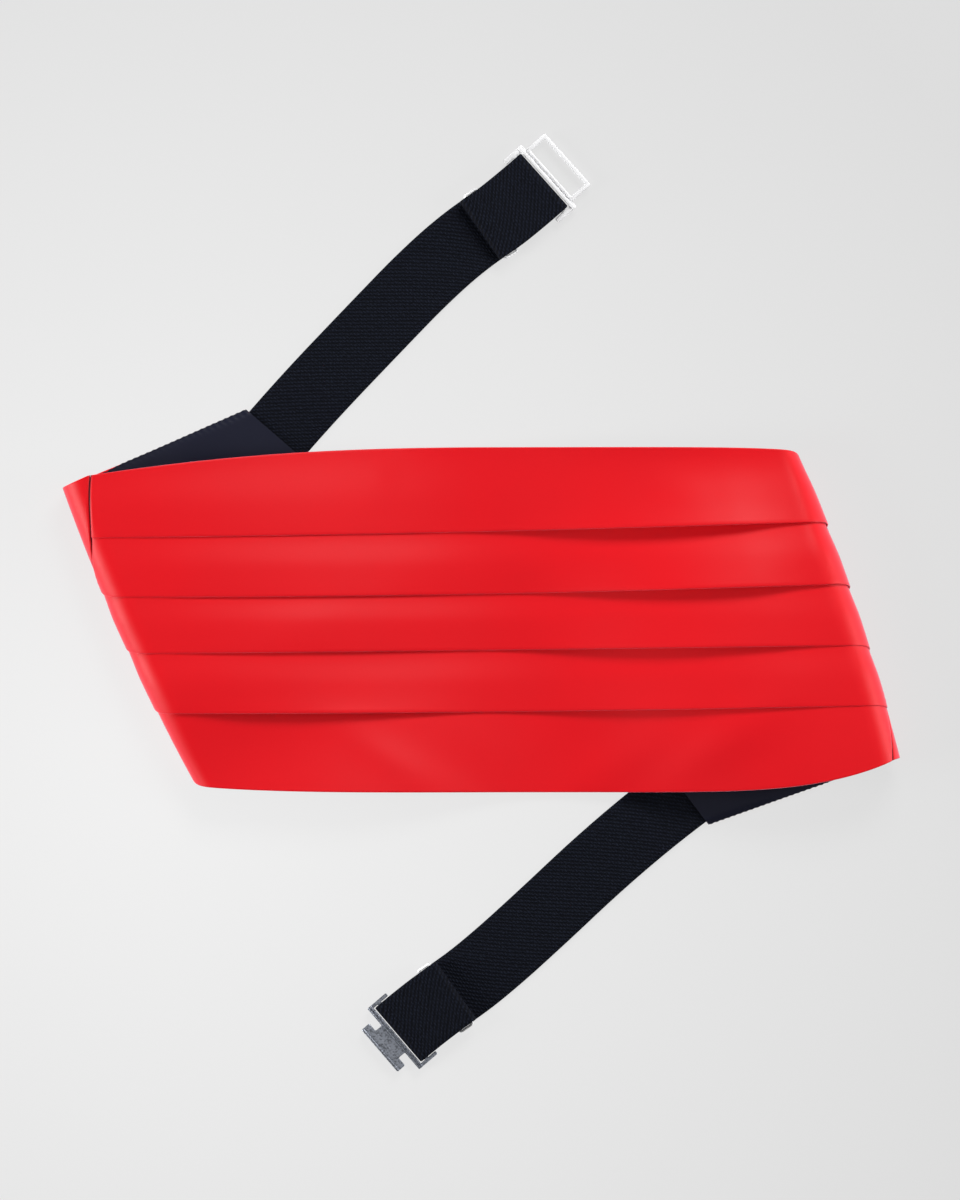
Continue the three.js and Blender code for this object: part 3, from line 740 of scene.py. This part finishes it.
def hem_rows(edge, upper, side):
    """A hem folded to the back, from its raw edge out to the turned edge and onto the face."""
    front = side == "front"
    level = -HEM_GAP - SATIN if front else -HEM_GAP
    rows = [(edge - upper * mix(HEM, HEM_ROUND, t), level) for t in (0, 0.5)]
    radius = HEM_ROUND if front else HEM_GAP / 2
    return rows + turn_rows(edge - upper * HEM_ROUND, -HEM_GAP / 2, radius, upper, HEM_STEPS)[::-1]


def settle(u, rows):
    """Thins the plies at the folds and seams, and dips and puckers the cloth along a seam."""
    beside = np.abs(np.abs(u) - SEAM_AT)
    dip = SEAM_DIP * np.exp(-((beside / SEAM_HOLLOW) ** 2))
    pull = SEAM_PUCKER * np.exp(-(((beside - PUCKER_AT) / PUCKER_WIDTH) ** 2))
    settled = []
    for v, w in rows:
        pucker = pull * np.sin(2 * np.pi * v / PUCKER_PITCH) * np.sin(PUCKER_WANDER * v + 1)
        settled.append((v, w * stack_share(u, v) - dip + pucker))
    return settled


def pleat_at(pleat, u):
    share = np.clip(2 * u / PANEL_LENGTH, -1, 1)
    middle = mix(pleat["middle"], (pleat["left"] + pleat["right"]) / 2, share**2)
    edge = (middle + (pleat["right"] - pleat["left"]) / 2 * share) * PANEL_HEIGHT
    opening = 0
    for at, amount in pleat["openings"]:
        off = np.minimum(1, np.abs(share / 2 - at) / OPEN_SPREAD)
        opening = opening + amount * (1 + np.cos(np.pi * off)) / 2
    return edge, opening * PLEAT_LIFT


def pleated_rows(u, side):
    front = side == "front"
    face = SATIN if front else 0.0
    fold = (PITCH + SATIN) / 2
    lower_radius = fold if front else PLY_GAP / 2
    upper_radius = PLY_GAP / 2 if front else fold
    rows = hem_rows(edge_v(u, 1), 1, side)
    start = edge_v(u, 1) - 2 * HEM_ROUND
    for pleat in PLEATS:
        edge, lift = pleat_at(pleat, u)
        above = edge + PLEAT_DEPTH
        band = start - edge - fold
        for t in np.linspace(0, 1, BAND_STEPS):
            down = t * (start - above) / band
            rise = BAND_BOW * np.sin(np.pi * down) + lift * down**LIFT_POWER
            rows.append((mix(start, above, t), face + 2 * PITCH * smooth(t, 0, 1) + rise))
        for t in np.linspace(0, 1, BAND_STEPS)[1:-1]:
            down = 1 - (1 - t) * (above - edge - fold) / band
            rise = BAND_BOW * np.sin(np.pi * down) + lift * down**LIFT_POWER
            rows.append((mix(above, edge + fold, t), face + 2 * PITCH + rise))
        rows += turn_rows(edge + fold, PITCH + fold + lift, lower_radius, -1, LOWER_TURN_STEPS)
        for t in HIDDEN_SHARES:
            level = PITCH + SATIN - face + lift * (1 - t)
            rows.append((mix(edge + fold, above - fold, t), level))
        rows += turn_rows(above - fold, fold, upper_radius, 1, UPPER_TURN_STEPS)
        rows += [(mix(above - fold, edge, t), face) for t in HIDDEN_SHARES]
        start = edge
    last = edge_v(u, -1)
    for t in np.linspace(0, 1, LAST_BAND_STEPS):
        rows.append((mix(start, last + 2 * HEM_ROUND, t), face + BAND_BOW * np.sin(np.pi * t)))
    rows += hem_rows(last, -1, side)[::-1]
    return settle(u, rows)


def make_pleated_front():
    inner = np.linspace(-SEAM_AT, SEAM_AT, FRONT_COLUMNS)
    inner = inner[np.abs(inner) < SEAM_AT - SEAM_COLUMNS[-1] - COLUMN_GAP]
    u = np.concatenate([-SEAM_AT + SEAM_COLUMNS, inner, SEAM_AT - SEAM_COLUMNS[::-1]])
    mesh = lay_cloth("satin_front", u, pleated_rows)
    piece = add_piece("satin_front", mesh, RED_SATIN, "pleated_front")


def end_panel_rows(u, side):
    face = SATIN if side == "front" else 0.0
    upper, lower = edge_v(u, 1), edge_v(u, -1)
    rows = hem_rows(upper, 1, side)
    for t in np.linspace(0, 1, END_PANEL_ROWS):
        rows.append((mix(upper - 2 * HEM_ROUND, lower + 2 * HEM_ROUND, t), face))
    rows += hem_rows(lower, -1, side)[::-1]
    return settle(u, rows)


def make_end_panel(side):
    end = ENDS[side]
    tip = PANEL_LENGTH / 2 + TAIL_LENGTH
    plain = np.linspace(SEAM_AT + END_PANEL_START, tip, END_PANEL_COLUMNS)
    u = end["sign"] * np.concatenate([SEAM_AT + SEAM_OPENING + SEAM_COLUMNS, plain])
    mesh = lay_cloth("satin_end_" + side, np.sort(u), end_panel_rows)
    piece = add_piece("satin_end_" + side, mesh, RED_SATIN, "end_panel_" + side)


def lining_rows(u, side):
    beyond = np.abs(u) - PANEL_LENGTH / 2
    inset = mix(LINING_INSET, TAIL_INSET, smooth(beyond, LINING_FADE / 2, LINING_FADE))
    to_joint = PANEL_LENGTH / 2 + TAIL_LENGTH - np.abs(u)
    over_elastic = HEM_GAP + ELASTIC + PLY_GAP - LINING_LEVEL
    level = LINING_LEVEL + over_elastic * (1 - smooth(to_joint, ELASTIC_TUCK + 1, 3 * ELASTIC_TUCK))
    pull = STITCH_PULL * np.abs(np.sin(np.pi * u / STITCH_PITCH)) * smooth(beyond, -2, 0)
    upper, lower = edge_v(u, 1) - inset - pull, edge_v(u, -1) + inset + pull
    face = 0.0 if side == "front" else LINING
    rows = []
    for t in LINING_SHARES:
        v = mix(upper, lower, t)
        from_edge = np.minimum(upper - v, v - lower)
        drawn_in = (level - HEM_GAP - SATIN - LINING_GAP) * np.exp(-((from_edge / LINING_ROUND) ** 2))
        dimple = STITCH_DIMPLE * pull * np.exp(-(((from_edge - STITCH_AT) / STITCH_WIDTH) ** 2))
        rows.append((v, -level + drawn_in + dimple - face))
    return rows


def make_lining():
    half = PANEL_LENGTH / 2
    inner = np.linspace(-half + LINING_COARSE_END, half - LINING_COARSE_END, LINING_COLUMNS)
    outer = np.arange(half - LINING_FINE_START, half + TAIL_LENGTH, LINING_STEP)
    outer = np.append(outer[:-1], half + TAIL_LENGTH)
    u = np.concatenate([-outer[::-1], inner, outer])
    mesh = lay_cloth("lining_cloth", u, lining_rows)
    piece = add_piece("lining_cloth", mesh, NAVY_SATIN, "lining")


# Elastic straps
def arc(a, z, radius, from_angle, to_angle, steps):
    angles = np.radians(np.linspace(from_angle, to_angle, steps))
    return np.stack([a + radius * np.cos(angles), z + radius * np.sin(angles)], -1)


def strap_side(end):
    """Side view of a strap: from the tail, over the slider's bar, round the clasp's bar and back."""
    low = ELASTIC / 2 + TABLE_GAP
    tucked = SATIN + HEM_GAP + low
    over = UNDER_BAR_HEIGHT + BAR_ROUND + BAR_GAP + low
    slider_at, clasp_at = end["slider_at"], end["clasp_at"]
    bar_at = slider_at + SLIDER_PITCH
    near_slider = slider_at - FINE_STRAP_START
    coarse = np.arange(-ELASTIC_TUCK, near_slider, STRAP_STEP)
    fine = np.arange(near_slider, clasp_at, FINE_STRAP_STEP)
    a = np.concatenate([coarse, fine])
    hump = smooth(SLIDER_PITCH * HUMP_REACH - np.abs(a - bar_at), 0, SLIDER_PITCH * HUMP_SLOPE)
    z = low + (tucked - low) * (1 - smooth(a, 1, STRAP_FALL)) + (over - low) * hump
    way_back = np.linspace(clasp_at, slider_at, WAY_BACK_STEPS)[1:-1]
    share = (clasp_at - way_back) / (clasp_at - slider_at)
    top = mix(CLASP_HEIGHT + CLASP_LOOP, SLIDER_HEIGHT + SLIDER_LOOP, smooth(share, 0.05, 0.95))
    sewn = np.array([[slider_at + SEWN_END / 2, SLIDER_HEIGHT - SLIDER_LOOP]])
    return np.concatenate([
        np.stack([a, z], -1),
        arc(clasp_at, CLASP_HEIGHT, CLASP_LOOP, -90, 90, LOOP_STEPS),
        np.stack([way_back, top], -1),
        arc(slider_at, SLIDER_HEIGHT, SLIDER_LOOP, 90, 270, LOOP_STEPS),
        sewn,
    ])


def strap_columns():
    """Places across the webbing and its half thickness there, which rounds off at the selvedges."""
    half = ELASTIC_WIDTH / 2
    rounding = SELVEDGE * (1 - np.cos(np.radians([0, 30, 60])))
    middle = np.linspace(-half + SELVEDGE, half - SELVEDGE, STRAP_COLUMNS)
    b = np.concatenate([-half + rounding, middle, half - rounding[::-1]])
    edge = np.clip((np.abs(b) - half + SELVEDGE) / SELVEDGE, 0, 1)
    return b, ELASTIC / 2 * np.sqrt(1 - SELVEDGE_TAPER * edge**2)


def make_strap(side):
    end = ENDS[side]
    centre = strap_side(end)
    along = np.gradient(centre, axis=0)
    along /= np.hypot(along[:, 0], along[:, 1])[:, None]
    off = np.stack([-along[:, 1], along[:, 0]], -1)
    travelled = np.concatenate([[0], np.cumsum(np.hypot(*np.diff(centre, axis=0).T))])
    b, thick = strap_columns()
    grids = []
    for face in (1, -1):
        a = centre[:, :1] + face * off[:, :1] * thick
        z = centre[:, 1:] + face * off[:, 1:] * thick
        grids.append(end["route"](a, b, z))
    flat = np.stack(np.broadcast_arrays(travelled[:, None], b), -1)
    name = "elastic_strap_" + side
    mesh = close_sheet(name, grids[0], grids[1], flat)
    piece = add_piece(name, mesh, ELASTIC_WEBBING, "elastic_" + side)


# Fittings, drawn flat with x along the strap and y across it
def box_outline(from_x, to_x, half_width, corner, steps=4):
    points = []
    corners = ((to_x, -1, -90), (to_x, 1, 0), (from_x, 1, 90), (from_x, -1, 180))
    for x, side, first in corners:
        inward = -1 if x == to_x else 1
        for angle in np.radians(np.linspace(first, first + 90, steps)):
            points.append((
                x + inward * corner + corner * math.cos(angle),
                side * (half_width - corner) + corner * math.sin(angle),
            ))
    return points


def plate(outline, holes, low, high, bevel):
    curve = bpy.data.curves.new("outline", "CURVE")
    curve.dimensions = "2D"
    curve.fill_mode = "BOTH"
    for points in (outline, *holes):
        spline = curve.splines.new("POLY")
        spline.points.add(len(points) - 1)
        for point, (x, y) in zip(spline.points, points):
            point.co = (x, y, 0, 1)
        spline.use_cyclic_u = True
    curve.extrude = (high - low) / 2 - bevel
    curve.bevel_depth = bevel
    curve.bevel_resolution = 2
    curve.offset = -bevel
    holder = bpy.data.objects.new("outline", curve)
    mesh = bpy.data.meshes.new_from_object(holder)
    bpy.data.objects.remove(holder)
    bpy.data.curves.remove(curve)
    solid = bmesh.new()
    solid.from_mesh(mesh)
    bmesh.ops.remove_doubles(solid, verts=solid.verts, dist=WELD)
    bmesh.ops.translate(solid, verts=solid.verts, vec=(0, 0, (low + high) / 2))
    bmesh.ops.recalc_face_normals(solid, faces=solid.faces)
    solid.to_mesh(mesh)
    solid.free()
    return mesh


def fuse(name, meshes):
    scene = bpy.context.scene
    objects = [bpy.data.objects.new(name + "_part", mesh) for mesh in meshes]
    for piece in objects:
        scene.collection.objects.link(piece)
    for other in objects[1:]:
        union = objects[0].modifiers.new("union", "BOOLEAN")
        union.operation = "UNION"
        union.solver = "EXACT"
        union.object = other
    depsgraph = bpy.context.evaluated_depsgraph_get()
    fused = bpy.data.meshes.new_from_object(objects[0].evaluated_get(depsgraph))
    fused.name = name
    for piece in objects:
        bpy.data.objects.remove(piece)
    return fused


def seat_fitting(name, meshes, end, a, z, material, node):
    """Joins the plates and seats them square to the strap."""
    mesh = fuse(name, meshes) if len(meshes) > 1 else meshes[0]
    place = end["route"](a, 0, z) + PANEL_MIDDLE
    ahead = end["route"](a + 1, 0, 0) - end["route"](a, 0, 0)
    turn = Matrix.Rotation(math.atan2(ahead[1], ahead[0]), 4, "Z")
    mesh.transform(Matrix.Scale(MM, 4) @ Matrix.Translation(Vector(place)) @ turn)
    add_piece(name, mesh, material, node)
    mesh.set_sharp_from_angle(angle=METAL_CREASE)


def make_slider(side):
    end = ENDS[side]
    rise = SLIDER_HEIGHT - UNDER_BAR_HEIGHT
    length = math.hypot(SLIDER_PITCH, rise)
    inside = ELASTIC_WIDTH / 2 + LAY_GAP / 2
    ring = plate(
        box_outline(-SLIDER_BAR / 2, length + SLIDER_BAR / 2, inside + SLIDER_SIDE, SLIDER_CORNER, 6),
        [box_outline(SLIDER_BAR / 2, length - SLIDER_BAR / 2, inside, SLOT_CORNER)],
        -SLIDER_PLATE / 2,
        SLIDER_PLATE / 2,
        SLIDER_BEVEL,
    )
    ring.transform(Matrix.Rotation(math.atan2(rise, SLIDER_PITCH), 4, "Y"))
    name = "slider_ring_" + side
    seat_fitting(name, [ring], end, end["slider_at"], SLIDER_HEIGHT, EYE_METAL, "slider_" + side)


def strap_frame(wing, ridges):
    """The frame that a strap loops through, with the loop's outer end at x = 0."""
    inside = ELASTIC_WIDTH / 2 + LAY_GAP
    outside = inside + wing
    bar_end = -ELASTIC - LAY_GAP
    front = LAY_GAP + RAIL
    half = FITTING_PLATE / 2
    middle = (inside + outside) / 2
    ears = []
    for sign in (-1, 1):
        ear = box_outline(-WING_REACH, front, wing / 2, WING_CORNER)
        ears.append(plate([(x, y + sign * middle) for x, y in ear], [], -half, half, FITTING_BEVEL))
    bar_outline = box_outline(bar_end - FITTING_BAR, bar_end, outside - BAR_INSET, BAR_CORNER)
    bar = plate(bar_outline, [], -half, half, FITTING_BEVEL)
    rail = plate(box_outline(LAY_GAP, front, outside, RAIL_CORNER), [], -half, RAIL_TOP, RAIL_BEVEL)
    for start, finish in ridges:
        ridge = box_outline(LAY_GAP + start, LAY_GAP + finish, outside, BAR_CORNER)
        ears.append(plate(ridge, [], -half + FITTING_OVERLAP, half + RAIL_RISE, RIDGE_BEVEL))
    return front, [rail, bar, *ears]


def make_clasp_eye():
    front, plates = strap_frame(EYE_WING, [(0, RAIL - GROOVE)])
    far = front + EYE_FRAME_LENGTH
    slot_end = far - EYE_FAR_BAR
    catch = plate(
        box_outline(front - FITTING_OVERLAP, far, EYE_FRAME_WIDTH / 2, EYE_CORNER),
        [box_outline(slot_end - EYE_SLOT_LENGTH, slot_end, EYE_SLOT_WIDTH / 2, SLOT_CORNER)],
        -CATCH_PLATE / 2,
        CATCH_PLATE / 2,
        EYE_BEVEL,
    )
    plates.append(catch)
    at = LEFT["strap_length"]
    seat_fitting("clasp_eye_casting", plates, LEFT, at, CLASP_HEIGHT, EYE_METAL, "clasp_eye")


def neck_outline(from_x, to_x):
    half = NECK_WIDTH / 2 + NECK_FILLET
    corners = (
        (from_x + NECK_FILLET, -half, 180, 90),
        (to_x - NECK_FILLET, -half, 90, 0),
        (to_x - NECK_FILLET, half, 0, -90),
        (from_x + NECK_FILLET, half, -90, -180),
    )
    points = []
    for x, y, first, last in corners:
        for angle in np.radians(np.linspace(first, last, 6)):
            points.append((x + NECK_FILLET * math.cos(angle), y + NECK_FILLET * math.sin(angle)))
    return points


def make_clasp_hook():
    front, plates = strap_frame(HOOK_WING, [(0, RIDGE), (RIDGE + GROOVE, RAIL)])
    tee = front + NECK_LENGTH
    far = tee + TEE_LENGTH
    half = CATCH_PLATE / 2
    neck_half = half - FITTING_OVERLAP
    neck = neck_outline(front - LAY_GAP, tee + LAY_GAP)
    cross_bar = box_outline(tee, far, TEE_WIDTH / 2, TEE_CORNER)
    lip = box_outline(far - TEE_LIP, far, TEE_WIDTH / 2, TEE_CORNER)
    plates.append(plate(neck, [], -neck_half, neck_half, NECK_BEVEL))
    plates.append(plate(cross_bar, [], -half, half, FITTING_BEVEL))
    plates.append(plate(lip, [], 0, half + TEE_LIP_RISE, TEE_LIP_BEVEL))
    at = RIGHT["strap_length"]
    seat_fitting("clasp_hook_casting", plates, RIGHT, at, CLASP_HEIGHT, HOOK_METAL, "clasp_hook")


make_pleated_front()
make_lining()
for side in ENDS:
    make_end_panel(side)
    make_strap(side)
    make_slider(side)
make_clasp_eye()
make_clasp_hook()


# Photo set: pale floor, soft light from the upper edge and the sides, camera straight above
VIEW_MIDDLE = (-0.36, 1.07)
VIEW_HEIGHT = 429.6
CAMERA_DISTANCE = 6000.0
SENSOR = 36.0
CLIP_END = 20.0
FLOOR_SIZE = 6.0
FLOOR_GREY = 0.085
# The floor's painted pool of light: the middle of its glow, how far it fades, and its strength in the
# middle and beyond
GLOW_MIDDLE = (-0.12, -0.05, 0)
GLOW_REACH = 0.36
GLOW_MIDDLE_STRENGTH = 0.8
GLOW_FAR_STRENGTH = 0.63
ROOM_LIGHT = 0.1

# Each softbox's place and size in metres and its power in watts. All of them face the origin.
SOFTBOXES = {
    "upper_softbox": ((0.45, 1.43, 1.25), (1.0, 0.7), 28),
    "left_softbox": ((-1.5, -0.25, 0.34), (0.5, 1.2), 29),
    "right_softbox": ((1.5, 0.1, 0.34), (0.5, 1.2), 17),
    "overhead_softbox": ((0, 0, 2.5), (1.6, 1.6), 3),
}


def make_floor():
    mesh = bpy.data.meshes.new("floor")
    half = FLOOR_SIZE / 2
    corners = [(-half, -half, 0), (half, -half, 0), (half, half, 0), (-half, half, 0)]
    mesh.from_pydata(corners, [], [(0, 1, 2, 3)])
    material, tree, shader = new_material("glowing_pale_floor")
    # The floor glows, brightest round GLOW_MIDDLE and dimmer out to GLOW_REACH: a painted pool of light
    # on the floor, which also keeps the shadows cast on it faint.
    place = add(tree, "TexCoord").outputs["Object"]
    away = add(tree, "VectorMath", {"operation": "DISTANCE"})
    tree.links.new(place, away.inputs[0])
    away.inputs[1].default_value = GLOW_MIDDLE
    painted_light_pool = add(
        tree,
        "MapRange",
        Value=away.outputs["Value"],
        From_Min=0.0,
        From_Max=GLOW_REACH,
        To_Min=GLOW_MIDDLE_STRENGTH,
        To_Max=GLOW_FAR_STRENGTH,
    )
    tree.links.new(painted_light_pool.outputs[0], shader.inputs["Emission Strength"])
    shader.inputs["Base Color"].default_value = (FLOOR_GREY, FLOOR_GREY, FLOOR_GREY, 1)
    shader.inputs["Roughness"].default_value = 0.9
    shader.inputs["Specular IOR Level"].default_value = 0.1
    shader.inputs["Emission Color"].default_value = (1, 1, 1, 1)
    mesh.materials.append(material)
    floor = bpy.data.objects.new("floor", mesh)
    bpy.context.scene.collection.objects.link(floor)


def add_softbox(name, place, size, power):
    light = bpy.data.lights.new(name, "AREA")
    light.shape = "RECTANGLE"
    light.size, light.size_y = size
    light.energy = power
    lamp = bpy.data.objects.new(name, light)
    lamp.location = place
    lamp.rotation_euler = (-Vector(place)).to_track_quat("-Z", "Y").to_euler()
    bpy.context.scene.collection.objects.link(lamp)


def light_the_set():
    for name, (place, size, power) in SOFTBOXES.items():
        add_softbox(name, place, size, power)
    world = bpy.data.worlds.new("pale_room")
    world.use_nodes = True
    world.node_tree.nodes["Background"].inputs["Color"].default_value = (1, 1, 1, 1)
    world.node_tree.nodes["Background"].inputs["Strength"].default_value = ROOM_LIGHT
    bpy.context.scene.world = world
    bpy.context.scene.view_settings.view_transform = "Standard"


def set_camera():
    camera = bpy.data.cameras.new("camera")
    camera.sensor_width = SENSOR
    camera.lens = SENSOR * CAMERA_DISTANCE / VIEW_HEIGHT
    camera.clip_end = CLIP_END
    holder = bpy.data.objects.new("camera", camera)
    holder.location = (VIEW_MIDDLE[0] * MM, VIEW_MIDDLE[1] * MM, CAMERA_DISTANCE * MM)
    bpy.context.scene.collection.objects.link(holder)
    bpy.context.scene.camera = holder


make_floor()
light_the_set()
set_camera()
